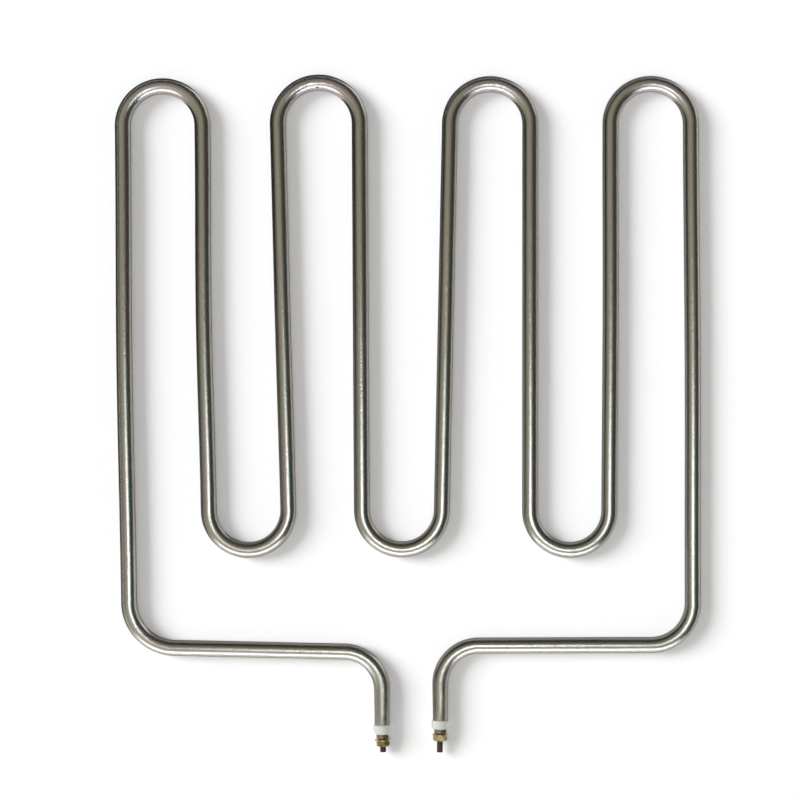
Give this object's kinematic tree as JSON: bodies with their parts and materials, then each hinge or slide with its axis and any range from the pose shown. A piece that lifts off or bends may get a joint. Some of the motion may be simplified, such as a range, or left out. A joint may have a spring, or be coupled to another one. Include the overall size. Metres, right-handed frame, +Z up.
{
  "type": "tubular heating element",
  "caption": "Flat serpentine heating element: one bent steel sheath in long parallel loops, with a ceramic bush and a threaded pin with brass nuts at each end.",
  "frame": {"origin": "under the middle of the element's outline, in the plane that it lies on", "axes": "+X across the loops, +Y from the terminals towards the far loops, +Z up"},
  "size_m": [0.3046, 0.3522, 0.009],
  "materials": {
    "sheath_steel": "satin",
    "pin_steel": "oxidised",
    "ceramic": "unglazed",
    "inner_brass": "tarnished",
    "brass": "satin",
    "seal": "matte"
  },
  "bodies": {
    "root": {"sheath": "sheath_steel", "left_terminal_pin": "pin_steel", "left_end_seal": "seal", "left_ceramic_bush": "ceramic", "left_inner_nut": "inner_brass", "left_washer": "brass", "left_outer_nut": "brass", "right_terminal_pin": "pin_steel", "right_end_seal": "seal", "right_ceramic_bush": "ceramic", "right_inner_nut": "inner_brass", "right_washer": "brass", "right_outer_nut": "brass"}
  },
  "joints": []
}
